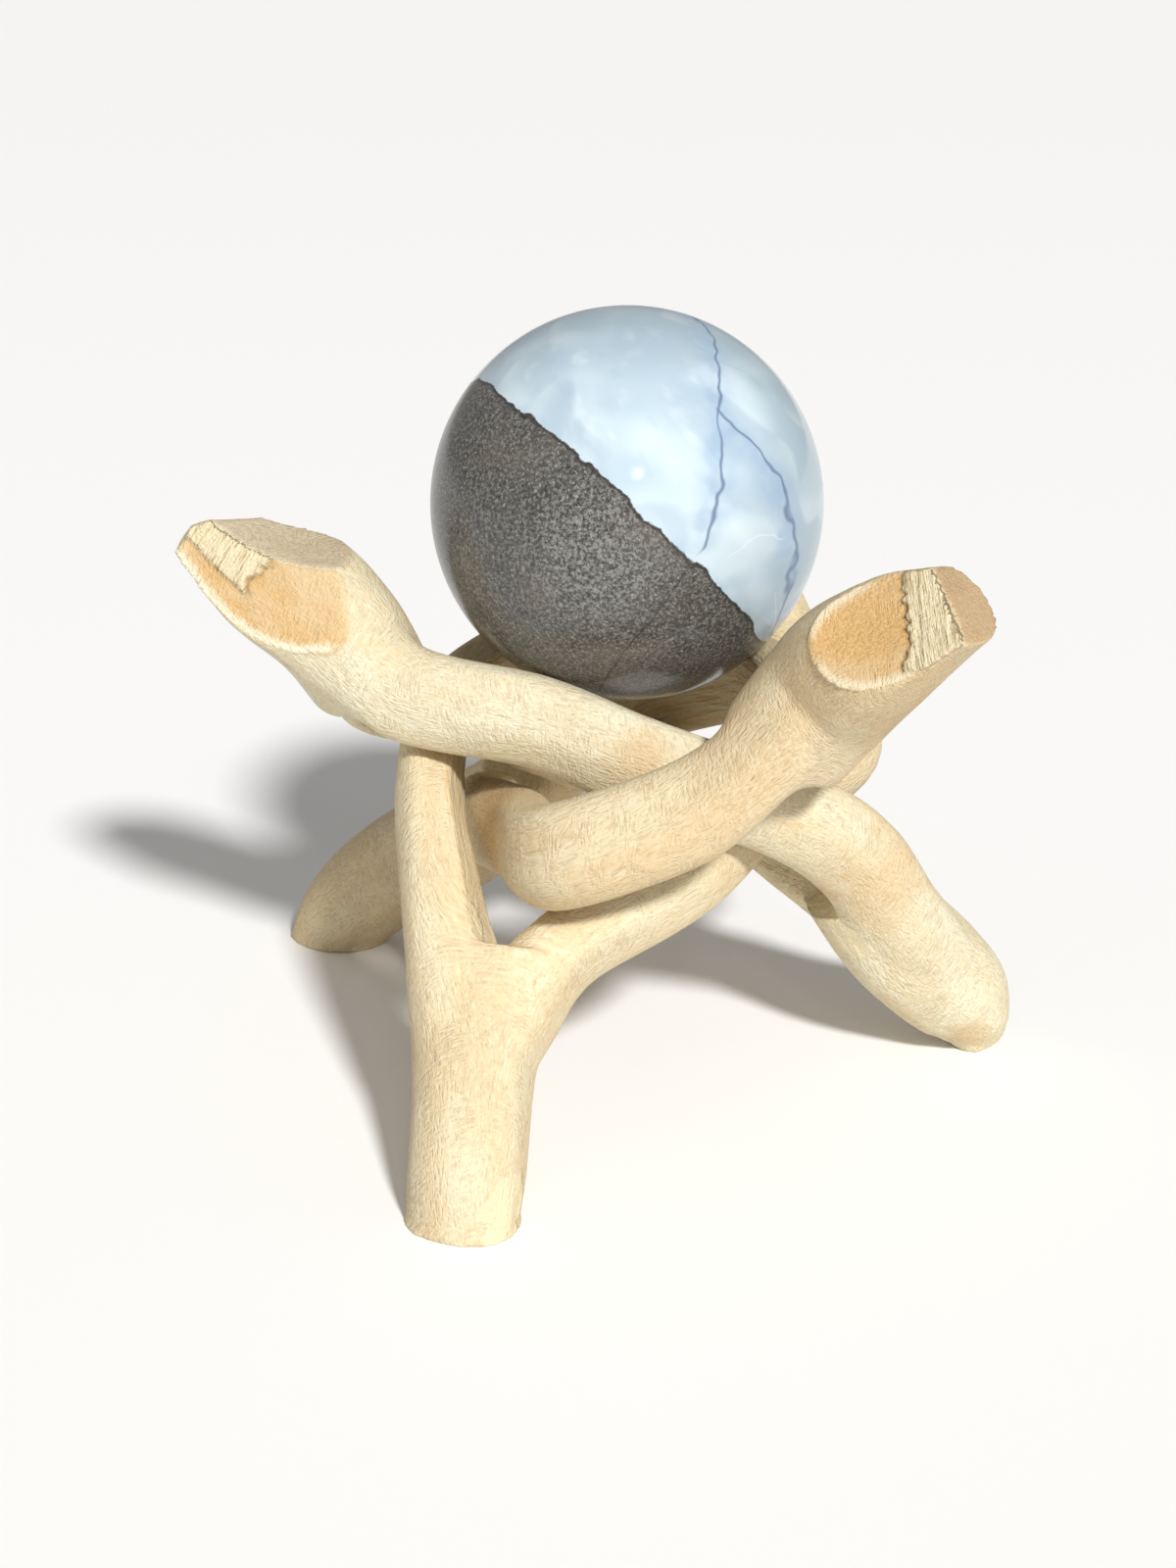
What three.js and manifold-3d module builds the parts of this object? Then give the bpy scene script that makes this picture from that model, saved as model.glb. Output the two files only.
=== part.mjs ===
// A polished stone sphere on a hand-carved wooden tripod of three interlocked members.
// Millimetres, +Z up, origin at the middle of the footprint, on the surface the feet stand on.
//
// Each member is one piece of wood: a leg, two strands round a slot, and an arm. Every member
// passes through the next one's slot (front inside right, right inside left, left inside front),
// so the three can't be taken apart, and opened out they stand as a tripod under the sphere.
//
// A member is described in a frame of its own. Its long axis runs from the foot, through the
// crossing point, up to the arm tip; "side" is level and points to the left for someone who
// stands outside the foot and looks in; "lift" is square to both and points upwards.

import * as THREE from "three";
import { mergeVertices } from "three/addons/utils/BufferGeometryUtils.js";
import Module from "manifold-3d";

// ---- driving dimensions ----

// The long axes of the three members meet at the crossing.

const crossing = [2, -1.7, 50.2];
const sphereRadius = 30;
const sphereCentre = [2.4, -1.9, 93.8];
const sphereDetail = 7;
const groundWidth = 400;
const groundDepth = 60;
const wasteSize = 60;

// ---- how round and how finely divided the limbs are ----

const rounding = 2.2;
const ringsPerLimb = 13;
const ringsPerStrand = 20;
const sidesOfLimb = 24;
const sidesOfStrand = 16;
const sidesOfDrum = 96;

// ---- the woodworker's pattern, shared by the three members ----
// A station is [place on the long axis, side, lift, half width, half depth].

const pattern = {
  leg: {
    sole: [-77.5, -1, -10.5, 4.8, 4.2],
    toe: [-74.2, -1, -8, 7.4, 6.6],
    heel: [-69.5, -0.5, -5.5, 9, 8.8],
    shin: [-62, 1.5, -3.2, 9.6, 9.8],
    ankle: [-52, 4.5, -0.5, 9.8, 9.8],
    fork: [-39, 6.5, 4.8, 10.4, 8.8],
  },
  leftStrand: {
    root: [-60, 5.5, -1.5, 6.5, 7.8],
    shoulder: [-48, 10, 3.5, 7, 8],
    rise: [-35, 15.5, 10, 6.2, 7.8],
    turn: [-18, 23, 12.6, 5.4, 7.4],
    crest: [1, 27.8, 10, 5.2, 7.4],
    fall: [20, 18.5, 3.8, 5.3, 7.4],
    joint: [39, 9, -4.2, 6, 7.8],
    end: [52, 5.5, -1, 6.5, 7.5],
  },
  rightStrand: {
    root: [-60, 1.5, -2, 6, 7.5],
    shoulder: [-48, 1, 0.5, 7, 7.8],
    rise: [-36, -2.6, 1.8, 6, 7.4],
    turn: [-18, -17, 0.4, 5.4, 7.2],
    crest: [1, -22.2, -5, 5.4, 7.2],
    fall: [20, -29.6, -10.8, 5.6, 7.4],
    joint: [39, -13.2, -10.6, 6, 7.8],
    end: [52, -3, -3, 6.5, 7.5],
  },
  arm: {
    fork: [42, -1.5, -6.5, 10.6, 9.8],
    neck: [52, 2, -1, 10, 10.3],
    palm: [65, 1, 1, 9.8, 10],
    tip: [81, 0, 0.5, 9, 9],
  },
};

// Each member was carved by eye, so each has its own place and its own small departures. A
// facet is a flat the saw or chisel left on an arm: a point on it and the way it faces, both
// given as [along, side, lift]. With "hollow" it is the scoop of a gouge of that radius, and the
// point is its deepest.

const members = [
  {
    name: "member_front",
    azimuth: -112.6,
    rise: 33,
    tint: 0xe9d6ab,
    own: {
      leg: {
        sole: [-81, 1, -13, 8.6, 5.5],
        toe: [-77, 1.1, -9.6, 8.7, 7.2],
        heel: [-72, 1.4, -6.2, 8.9, 8.8],
        shin: [-62, 3.4, -2.5, 9, 9.6],
        ankle: [-51, 6, 0, 9.8, 9.8],
      },
      leftStrand: {
        shoulder: [-48, 9.2, 3.5, 7.8, 8],
        rise: [-35, 15.1, 9.8, 6.4, 7.8],
        fall: [20, 18.5, 5.1, 5.3, 7.4],
        joint: [39, 9, -3.6, 6, 7.8],
      },
      rightStrand: {
        root: [-60, 3.5, -2, 6, 7.5],
        shoulder: [-48, 1.5, 0.5, 7, 7.8],
        fall: [20, -30.2, -10.8, 5.6, 7.4],
        joint: [39, -14.6, -10.3, 6, 7.8],
      },
      arm: { palm: [65, 1, 0, 9.4, 9.4], tip: [77, -2, -1, 8, 8] },
    },
    armFacets: [
      { point: [66, 0, 9], facing: [0.45, 0, 0.89] },
      { point: [60, -9, 0], facing: [0.45, -0.85, 0.2] },
      { point: [60, 10, 0], facing: [0.4, 0.85, 0.3] },
    ],
  },
  {
    name: "member_right",
    azimuth: 5.5,
    rise: 31.7,
    tint: 0xe8d4a8,
    own: {
      leftStrand: { fall: [20, 18.5, 5.2, 5.3, 7.4], joint: [39, 9, -3.2, 6, 7.8] },
      arm: { tip: [78, -0.5, 1.8, 8.8, 6.4] },
    },
    armFacets: [
      { point: [66.5, -2, 5.2], facing: [0.33, 0.23, 0.92], hollow: 30 },
      { point: [57, 9.5, 0], facing: [0.46, 0.87, 0.12] },
      { point: [76, -1, 3.1], facing: [0.6, -0.4, 0.66] },
    ],
  },
  {
    name: "member_left",
    azimuth: 126.1,
    rise: 29.7,
    tint: 0xe6d2a6,
    own: {
      leg: {
        sole: [-93, -11.5, -9.5, 7.5, 6],
        toe: [-88, -11, -7, 8.2, 7.4],
        heel: [-82, -10.2, -4.5, 8.7, 8.4],
        shin: [-68, -6.5, -0.5, 9.6, 9.7],
        ankle: [-54, -0.5, 1.5, 10, 10],
      },
      leftStrand: {
        root: [-60, 0, 0.5, 6.5, 7.8],
        shoulder: [-48, 6.5, 4.5, 7, 8],
        fall: [20, 18.5, 5.5, 5.3, 7.4],
        joint: [39, 9, -2.2, 6, 7.8],
      },
      rightStrand: {
        root: [-60, -5, -1, 6, 7.5],
        shoulder: [-48, -2.5, 1, 7, 7.8],
        turn: [-18, -16.6, 0, 5.4, 7.2],
        crest: [1, -22.4, -5.8, 5.4, 8],
        fall: [20, -29.6, -11.4, 5.6, 8.2],
      },
      arm: { palm: [66, 1, 1.5, 9.8, 9.6], tip: [83, 3, 3.3, 8, 6.5] },
    },
    armFacets: [
      { point: [73, -2.6, 2], facing: [0.48, -0.835, 0.27], hollow: 45 },
      { point: [80, 0, 9.5], facing: [0.2, 0.1, 0.97] },
      { point: [81.5, 4, 4], facing: [0.92, 0.2, 0.3] },
    ],
  },
];

// ---- shapes ----

const wasm = await Module();
wasm.setup();

const radians = THREE.MathUtils.degToRad;

// The member's frame: long axis, side and lift, as unit vectors.
function memberFrame({ azimuth, rise }) {
  const turn = radians(azimuth);
  const slope = radians(rise);
  const foot = new THREE.Vector3(Math.cos(turn), Math.sin(turn), 0);
  const along = foot.clone().multiplyScalar(-Math.cos(slope));
  along.z = Math.sin(slope);
  const side = new THREE.Vector3(Math.sin(turn), -Math.cos(turn), 0);
  const lift = new THREE.Vector3().crossVectors(side, along).normalize();
  if (lift.z < 0) lift.negate();
  return { along, side, lift };
}

// A point given along, to the side of and above the member's long axis.
function placeInFrame(frame, along, side, lift) {
  return new THREE.Vector3(...crossing)
    .addScaledVector(frame.along, along)
    .addScaledVector(frame.side, side)
    .addScaledVector(frame.lift, lift);
}

// A closed body carried along the smooth curve through its stations. Each ring is a rounded
// rectangle |x/a|^n + |y/b|^n = 1, and the two ends are flat.
function loft(frame, stations, rings, sides) {
  const centres = stations.map(([along, side, lift]) => placeInFrame(frame, along, side, lift));
  const curve = new THREE.CatmullRomCurve3(centres, false, "centripetal");
  const positions = [];
  for (let i = 0; i <= rings; i++) {
    const t = i / rings;
    const centre = curve.getPoint(t);
    const tangent = curve.getTangent(t);
    const size = sizeAt(stations, t);
    const across = frame.side.clone().addScaledVector(tangent, -frame.side.dot(tangent)).normalize();
    const up = new THREE.Vector3().crossVectors(tangent, across).normalize();
    for (let j = 0; j < sides; j++) {
      const angle = (j / sides) * 2 * Math.PI;
      const c = Math.cos(angle);
      const s = Math.sin(angle);
      const reach = Math.pow(Math.abs(c) ** rounding + Math.abs(s) ** rounding, -1 / rounding);
      const point = centre.clone()
        .addScaledVector(across, size[0] * c * reach)
        .addScaledVector(up, size[1] * s * reach);
      positions.push(point.x, point.y, point.z);
    }
  }
  return closedTube(positions, rings, sides, curve.getPoint(0), curve.getPoint(1));
}

// Half width and half depth at a place on the curve, eased between the stations.
function sizeAt(stations, t) {
  const place = t * (stations.length - 1);
  const k = Math.min(Math.floor(place), stations.length - 2);
  const ease = THREE.MathUtils.smoothstep(place - k, 0, 1);
  return [3, 4].map((c) => THREE.MathUtils.lerp(stations[k][c], stations[k + 1][c], ease));
}

// Rings of points joined into one solid, with a fan on each end.
function closedTube(positions, rings, sides, first, last) {
  const index = [];
  for (let i = 0; i < rings; i++) {
    for (let j = 0; j < sides; j++) {
      const a = i * sides + j;
      const b = i * sides + ((j + 1) % sides);
      index.push(a, b, b + sides, a, b + sides, a + sides);
    }
  }
  const firstHub = (rings + 1) * sides;
  const lastHub = firstHub + 1;
  const lastRing = rings * sides;
  const points = [...positions, first.x, first.y, first.z, last.x, last.y, last.z];
  for (let j = 0; j < sides; j++) {
    const k = (j + 1) % sides;
    index.push(firstHub, k, j, lastHub, lastRing + j, lastRing + k);
  }
  return new wasm.Manifold(
    new wasm.Mesh({
      numProp: 3,
      vertProperties: Float32Array.from(points),
      triVerts: Uint32Array.from(index),
    }),
  );
}

// A three.js geometry as a solid that can be joined and cut.
function solidOf(geometry) {
  geometry.deleteAttribute("normal");
  geometry.deleteAttribute("uv");
  const merged = mergeVertices(geometry);
  return new wasm.Manifold(
    new wasm.Mesh({
      numProp: 3,
      vertProperties: merged.attributes.position.array,
      triVerts: Uint32Array.from(merged.index.array),
    }),
  );
}

// A joined or cut solid back as a three.js geometry.
function geometryOf(solid) {
  const mesh = solid.getMesh();
  const geometry = new THREE.BufferGeometry();
  geometry.setAttribute("position", new THREE.BufferAttribute(Float32Array.from(mesh.vertProperties), 3));
  geometry.setIndex(new THREE.BufferAttribute(Uint32Array.from(mesh.triVerts), 1));
  geometry.computeVertexNormals();
  return geometry;
}

// Everything below the surface that the feet stand on.
const ground = solidOf(
  new THREE.BoxGeometry(groundWidth, groundWidth, groundDepth).translate(0, 0, -groundDepth / 2),
);

// The stations of one limb, with the member's own ones in place of the pattern's.
function stationsOf(member, limb) {
  return Object.values({ ...pattern[limb], ...member.own[limb] });
}

// All the material beyond a facet, as a block with one face on the flat, or as a drum that lies
// across the arm and touches the bottom of the hollow.
function wasteBeyond(frame, { point, facing, hollow }) {
  const spot = placeInFrame(frame, ...point);
  const outward = new THREE.Vector3()
    .addScaledVector(frame.along, facing[0])
    .addScaledVector(frame.side, facing[1])
    .addScaledVector(frame.lift, facing[2])
    .normalize();
  const crosswise = new THREE.Vector3().crossVectors(outward, frame.along).normalize();
  const lengthwise = new THREE.Vector3().crossVectors(outward, crosswise);
  const waste = hollow
    ? new THREE.CylinderGeometry(hollow, hollow, wasteSize, sidesOfDrum).rotateZ(Math.PI / 2).translate(0, 0, hollow)
    : new THREE.BoxGeometry(wasteSize, wasteSize, wasteSize).translate(0, 0, wasteSize / 2);
  waste.applyMatrix4(new THREE.Matrix4().makeBasis(crosswise, lengthwise, outward).setPosition(spot));
  return solidOf(waste);
}

// One member: its limbs joined, the facets cut on its arm, and its foot cut level.
function memberSolid(member) {
  const frame = memberFrame(member);
  const leg = loft(frame, stationsOf(member, "leg"), ringsPerLimb, sidesOfLimb);
  const left = loft(frame, stationsOf(member, "leftStrand"), ringsPerStrand, sidesOfStrand);
  const right = loft(frame, stationsOf(member, "rightStrand"), ringsPerStrand, sidesOfStrand);
  const arm = loft(frame, stationsOf(member, "arm"), ringsPerLimb, sidesOfLimb);
  const sawnArm = member.armFacets.reduce((limb, facet) => limb.subtract(wasteBeyond(frame, facet)), arm);
  return leg.add(left).add(right).add(sawnArm).subtract(ground);
}

// ---- assembly ----

const part = new THREE.Group();

for (const member of members) {
  const wood = new THREE.MeshStandardMaterial({ color: member.tint, roughness: 0.85, metalness: 0 });
  const mesh = new THREE.Mesh(geometryOf(memberSolid(member)), wood);
  mesh.name = member.name;
  part.add(mesh);
}

const stone = new THREE.MeshStandardMaterial({ color: 0x8fa3b5, roughness: 0.12, metalness: 0 });
const sphere = new THREE.Mesh(new THREE.IcosahedronGeometry(sphereRadius, sphereDetail), stone);
sphere.name = "stone_sphere";
sphere.position.set(...sphereCentre);
part.add(sphere);

export default part;
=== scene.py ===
import math

import bmesh
import bpy
import numpy as np
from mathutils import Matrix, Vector


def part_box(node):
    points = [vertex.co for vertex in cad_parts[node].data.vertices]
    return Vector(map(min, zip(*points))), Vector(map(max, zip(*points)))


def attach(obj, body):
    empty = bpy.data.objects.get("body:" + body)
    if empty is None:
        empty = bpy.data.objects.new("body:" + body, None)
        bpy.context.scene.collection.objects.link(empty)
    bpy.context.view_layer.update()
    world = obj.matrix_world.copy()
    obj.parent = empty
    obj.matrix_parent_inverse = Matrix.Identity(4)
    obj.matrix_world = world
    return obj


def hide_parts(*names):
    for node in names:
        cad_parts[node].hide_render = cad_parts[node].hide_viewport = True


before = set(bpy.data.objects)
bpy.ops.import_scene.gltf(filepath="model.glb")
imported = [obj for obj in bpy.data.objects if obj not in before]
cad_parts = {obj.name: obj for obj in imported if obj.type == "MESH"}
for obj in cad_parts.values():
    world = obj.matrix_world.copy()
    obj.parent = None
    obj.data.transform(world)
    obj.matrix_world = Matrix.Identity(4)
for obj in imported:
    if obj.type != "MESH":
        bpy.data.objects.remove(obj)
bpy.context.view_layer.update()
mm = 0.001


# A member is described along its own long axis, from the foot through the crossing up to the arm
# tip. "side" is level, to the left for someone outside the foot who looks in; "lift" is square
# to both, upwards. A station is (along, side, lift, half width, half depth).

# The side on which a strand was sawn open (1 left, -1 right, 0 for none), and the seed of each
# limb's knife work.
limbs = {
    "leg": {"sawnSide": 0, "seed": 3},
    "leftStrand": {"sawnSide": -1, "seed": 10},
    "rightStrand": {"sawnSide": 1, "seed": 11},
    "arm": {"sawnSide": 0, "seed": 3},
}

stand = {
    "crossing": (2.0, -1.7, 50.2),
    "rounding": 2.2,          # exponent of the rounded section
    "slotFace": 0.80,         # a strand is sawn flat at this share of its half width, slot side
    "grid": 0.475,            # size of the mesh cells
    "rings": 72,
    "sides": 56,
    "lightPasses": 3,         # smoothing all over
    "lightPull": 0.5,
    # smoothing where leg, strands and arm flow into each other
    "forks": [
        {"along": -46.0, "reach": 9.0, "full": 2.0, "passes": 18},
        {"along": 46.0, "reach": 9.0, "full": 2.0, "passes": 106},
    ],
    "forkPull": 0.6,
    "edgePasses": 2,          # softening the measure of sharp edges
    "fibrePasses": 11,        # evening out the fibre's coordinates where they pass from ring to ring
    "limbFade": 6,            # how quickly a limb's fibre gives way to its neighbour's
    "frayPasses": 64,         # how far the frayed rim of a flat reaches inwards
    "frayEdge": (0.985, 0.6),    # where it starts and where it is full, from 1 well inside
    "inset": 0.03,            # the surface sits this far inside its section before the relief
}

pattern = {
    "leg": [
        (-77.5, -1, -10.5, 4.8, 4.2), (-74.2, -1, -8, 7.4, 6.6), (-69.5, -0.5, -5.5, 9, 8.8),
        (-62, 1.5, -3.2, 9.6, 9.8), (-52, 4.5, -0.5, 9.8, 9.8), (-39, 6.5, 4.8, 10.4, 8.8),
    ],
    "leftStrand": [
        (-60, 5.5, -1.5, 6.5, 7.8), (-48, 10, 3.5, 7, 8), (-35, 15.5, 10, 6.2, 7.8),
        (-18, 23, 12.6, 5.4, 7.4), (1, 27.8, 10, 5.2, 7.4), (20, 18.5, 3.8, 5.3, 7.4),
        (39, 9, -4.2, 6, 7.8), (52, 5.5, -1, 6.5, 7.5),
    ],
    "rightStrand": [
        (-60, 1.5, -2, 6, 7.5), (-48, 1, 0.5, 7, 7.8), (-36, -2.6, 1.8, 6, 7.4),
        (-18, -17, 0.4, 5.4, 7.2), (1, -22.2, -5, 5.4, 7.2), (20, -29.6, -10.8, 5.6, 7.4),
        (39, -13.2, -10.6, 6, 7.8), (52, -3, -3, 6.5, 7.5),
    ],
    "arm": [
        (42, -1.5, -6.5, 10.6, 9.8), (52, 2, -1, 10, 10.3), (65, 1, 1, 9.8, 10),
        (81, 0, 0.5, 9, 9),
    ],
}

# What each member has of its own. "stations" replaces the pattern's, by limb and place in the
# list. A flat is a saw or chisel cut on the arm: a spot on it, the way it faces, and what it
# shows (tan, dull wood with painted shade, or brown end grain). "torn" is where its torn fibre
# starts, counted from the spot towards the tip, with its slant, its lower side and that side's
# slope. "fringes" tells how frayed its lower and upper rims are. "hollow" is the radius of a gouge
# that scooped the flat out, and the spot is then its deepest. A stain is a soft tan spot, and a
# chip a patch of torn fibre: place and radius. A nick is a knife line between two places. "tone"
# tints the wood, and "grainShift" moves its pattern.
memberFront = {
    "node": "member_front", "slot": "wood_front", "azimuth": -112.6, "rise": 33, "seed": 11,
    "tone": (1, 1, 1), "grainShift": 0.0,
    "stations": {
        "leg": {
            0: (-81, 1, -13, 8.6, 5.5), 1: (-77, 1.1, -9.6, 8.7, 7.2), 2: (-72, 1.4, -6.2, 8.9, 8.8),
            3: (-62, 3.4, -2.5, 9, 9.6), 4: (-51, 6, 0, 9.8, 9.8),
        },
        "leftStrand": {
            1: (-48, 9.2, 3.5, 7.8, 8), 2: (-35, 15.1, 9.8, 6.4, 7.8), 5: (20, 18.5, 5.1, 5.3, 7.4),
            6: (39, 9, -3.6, 6, 7.8),
        },
        "rightStrand": {
            0: (-60, 3.5, -2, 6, 7.5), 1: (-48, 1.5, 0.5, 7, 7.8), 5: (20, -30.2, -10.8, 5.6, 7.4),
            6: (39, -14.6, -10.3, 6, 7.8),
        },
        "arm": {2: (65, 1, 0, 9.4, 9.4), 3: (77, -2, -1, 8, 8)},
    },
    "flats": [
        {"spot": (66, 0, 9), "facing": (0.45, 0, 0.89), "shows": "tan", "torn": (2.0, 0.3, -9, 0)},
        # this flat shows dull wood with painted shade
        {"spot": (60, -9, 0), "facing": (0.45, -0.85, 0.2), "shows": "dull"},
        {"spot": (60, 10, 0), "facing": (0.4, 0.85, 0.3), "shows": "tan"},
    ],
    "stains": [(-5, 19, 18, 4)],
    "chips": [(-38.0, 7.2, 11.0, 2.7), (-76, -7.3, -5.5, 4.6)],
    "nicks": [((-41.2, 8.4, 13.2), (-39.8, 5.2, 9.0)), ((-60, 8, 7.5), (-62, 6, 8))],
}
memberRight = {
    "node": "member_right", "slot": "wood_right", "azimuth": 5.5, "rise": 31.7, "seed": 23,
    "tone": (1.02, 1.08, 1.15), "grainShift": 40.0,
    "stations": {
        "leg": {},
        "leftStrand": {5: (20, 18.5, 5.2, 5.3, 7.4), 6: (39, 9, -3.2, 6, 7.8)},
        "rightStrand": {},
        "arm": {3: (78, -0.5, 1.8, 8.8, 6.4)},
    },
    "flats": [
        # this scooped flat shows dull wood with painted shade
        {"spot": (66.5, -2, 5.2), "facing": (0.33, 0.23, 0.92), "shows": "dull", "hollow": 30},
        {
            "spot": (57, 9.5, 0), "facing": (0.46, 0.87, 0.12), "shows": "tan",
            "fringes": (1.2, 0.05), "torn": (9.9, -0.26, -2.2, 0.17),
        },
        {"spot": (76, -1, 3.1), "facing": (0.6, -0.4, 0.66), "shows": "brown"},
    ],
    "stains": [(-72.5, 7.5, -9.5, 4), (8, 31, 11, 5), (-38, 18, 10, 11)],
    "chips": [(-41, 12.8, -3.2, 4.2), (-37, 8, -1, 3)],
    "nicks": [
        ((49, 12, -4), (46, 13.5, -8.5)), ((-22, 26, 18), (-29, 24.3, 15)),
        ((-33.5, 20, 17.2), (-35, 23, 14.5)),
    ],
}
memberLeft = {
    "node": "member_left", "slot": "wood_left", "azimuth": 126.1, "rise": 29.7, "seed": 37,
    "tone": (0.96, 0.925, 0.89), "grainShift": 80.0,
    "stations": {
        "leg": {
            0: (-93, -11.5, -9.5, 7.5, 6), 1: (-88, -11, -7, 8.2, 7.4),
            2: (-82, -10.2, -4.5, 8.7, 8.4), 3: (-68, -6.5, -0.5, 9.6, 9.7),
            4: (-54, -0.5, 1.5, 10, 10),
        },
        "leftStrand": {
            0: (-60, 0, 0.5, 6.5, 7.8), 1: (-48, 6.5, 4.5, 7, 8), 5: (20, 18.5, 5.5, 5.3, 7.4),
            6: (39, 9, -2.2, 6, 7.8),
        },
        "rightStrand": {
            0: (-60, -5, -1, 6, 7.5), 1: (-48, -2.5, 1, 7, 7.8), 3: (-18, -16.6, 0, 5.4, 7.2),
            4: (1, -22.4, -5.8, 5.4, 8), 5: (20, -29.6, -11.4, 5.6, 8.2),
        },
        "arm": {2: (66, 1, 1.5, 9.8, 9.6), 3: (83, 3, 3.3, 8, 6.5)},
    },
    "flats": [
        {
            "spot": (73, -2.6, 2), "facing": (0.48, -0.835, 0.27), "shows": "tan", "hollow": 45,
            "fringes": (0.9, 1.3), "torn": (2.6, 0.0, -5.0, -0.15),
        },
        # this flat shows dull wood with painted shade
        {"spot": (80, 0, 9.5), "facing": (0.2, 0.1, 0.97), "shows": "dull"},
        {"spot": (81.5, 4, 4), "facing": (0.92, 0.2, 0.3), "shows": "brown"},
    ],
    "stains": [(3, -26, 2, 5)],
    "chips": [],
    "nicks": [((58, -5, 6), (61, -8, 2)), ((30, -28, -15), (34, -24, -17))],
}


# The member's frame as rows: long axis, side, lift.
def memberAxes(member):
    turn, slope = math.radians(member["azimuth"]), math.radians(member["rise"])
    along = np.array([-math.cos(slope) * math.cos(turn), -math.cos(slope) * math.sin(turn), math.sin(slope)])
    side = np.array([math.sin(turn), -math.cos(turn), 0.0])
    lift = np.cross(side, along)
    lift *= np.sign(lift[2])
    return np.array([along, side, lift])


# Points on a centripetal Catmull-Rom curve: between two stations the curve is the cubic whose
# end slopes come from the neighbours, weighed by the square roots of the distances. Only the
# first three columns count as distance, and the others (half width and depth) ride along.
def curvePoints(knots, places):
    before, after = [2 * knots[0] - knots[1]], [2 * knots[-1] - knots[-2]]
    k = np.concatenate([before, knots, after])
    t = places * (len(knots) - 1)
    i = np.minimum(t.astype(int), len(knots) - 2)
    f = (t - i)[:, None]
    p0, p1, p2, p3 = k[i], k[i + 1], k[i + 2], k[i + 3]
    d0, d1, d2 = [
        np.sqrt(np.linalg.norm((b - a)[:, :3], axis=1))[:, None]
        for a, b in ((p0, p1), (p1, p2), (p2, p3))
    ]
    slope1 = ((p1 - p0) / d0 - (p2 - p0) / (d0 + d1) + (p2 - p1) / d1) * d1
    slope2 = ((p2 - p1) / d1 - (p3 - p1) / (d1 + d2) + (p3 - p2) / d2) * d1
    return (
        (2 * f**3 - 3 * f**2 + 1) * p1 + (f**3 - 2 * f**2 + f) * slope1
        + (3 * f**2 - 2 * f**3) * p2 + (f**3 - f**2) * slope2
    )


# A limb's centre line with the frame of each ring: centre, tangent, across (the side made
# square to the tangent), up, and the half sizes.
def limbPath(member, axes, limb, count):
    rows = list(pattern[limb])
    for place, row in member["stations"][limb].items():
        rows[place] = row
    rows = np.array(rows, float)
    knots = np.hstack([np.array(stand["crossing"]) + rows[:, :3] @ axes, rows[:, 3:]])
    places = np.linspace(0, 1, count)
    line = curvePoints(knots, places)
    tangent = np.gradient(line[:, :3], axis=0)
    tangent /= np.linalg.norm(tangent, axis=1)[:, None]
    across = axes[1] - (tangent @ axes[1])[:, None] * tangent
    across /= np.linalg.norm(across, axis=1)[:, None]
    up = np.cross(tangent, across)
    up *= np.sign(up @ axes[2])[:, None]
    return {"centre": line[:, :3], "tangent": tangent, "across": across, "up": up, "size": line[:, 3:]}


# The limb's surface: round each ring goes the section |x/a|^n + |y/b|^n = 1, cut off flat on
# the slot side (sawnSide is +1 or -1, and 0 for a leg or an arm). A hub closes each end.
def limbSurface(path, sawnSide):
    n, sides, rings = stand["rounding"], stand["sides"], len(path["centre"])
    angle = np.linspace(0, 2 * math.pi, sides, endpoint=False)
    c, s = np.cos(angle), np.sin(angle)
    reach = (np.abs(c) ** n + np.abs(s) ** n) ** (-1 / n)
    x, y = c * reach, s * reach
    if sawnSide:
        x = sawnSide * np.minimum(sawnSide * x, stand["slotFace"])
    skin = (
        path["centre"][:, None]
        + path["across"][:, None] * (path["size"][:, 0:1] * x)[:, :, None]
        + path["up"][:, None] * (path["size"][:, 1:2] * y)[:, :, None]
    )
    points = np.concatenate([skin.reshape(-1, 3), path["centre"][:1], path["centre"][-1:]])
    i, j = np.meshgrid(np.arange(rings - 1), np.arange(sides), indexing="ij")
    a, b = i * sides + j, i * sides + (j + 1) % sides
    walls = np.stack([a, b, b + sides, a + sides], axis=-1).reshape(-1, 4)
    j = np.arange(sides)
    k = (j + 1) % sides
    last = (rings - 1) * sides
    first = np.stack([np.full(sides, rings * sides), k, j], axis=1)
    final = np.stack([np.full(sides, rings * sides + 1), last + j, last + k], axis=1)
    return points, walls.tolist() + first.tolist() + final.tolist()


# Adds one closed limb to the mesh, cut off at each plane (spot, outward direction).
def addLimb(target, points, faces, planes):
    limb = bmesh.new()
    corners = [limb.verts.new(p) for p in points]
    for face in faces:
        limb.faces.new([corners[c] for c in face])
    bmesh.ops.recalc_face_normals(limb, faces=limb.faces)
    for spot, facing in planes:
        parts = limb.verts[:] + limb.edges[:] + limb.faces[:]
        cut = bmesh.ops.bisect_plane(limb, geom=parts, plane_co=spot, plane_no=facing, clear_outer=True)
        rim = [part for part in cut["geom_cut"] if isinstance(part, bmesh.types.BMEdge)]
        if rim:
            bmesh.ops.contextual_create(limb, geom=rim)
    mesh = bpy.data.meshes.new("limb")
    limb.to_mesh(mesh)
    target.from_mesh(mesh)
    limb.free()
    bpy.data.meshes.remove(mesh)


# The overlapping limbs as one even skin of square cells.
def fusedMesh(source, cell):
    mesh = bpy.data.meshes.new("rough")
    source.to_mesh(mesh)
    rough = bpy.data.objects.new("rough", mesh)
    bpy.context.scene.collection.objects.link(rough)
    remesh = rough.modifiers.new("cells", "REMESH")
    remesh.mode = "VOXEL"
    remesh.voxel_size = cell
    ready = rough.evaluated_get(bpy.context.evaluated_depsgraph_get())
    fused = bpy.data.meshes.new_from_object(ready)
    bpy.data.objects.remove(rough)
    bpy.data.meshes.remove(mesh)
    return fused


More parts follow.
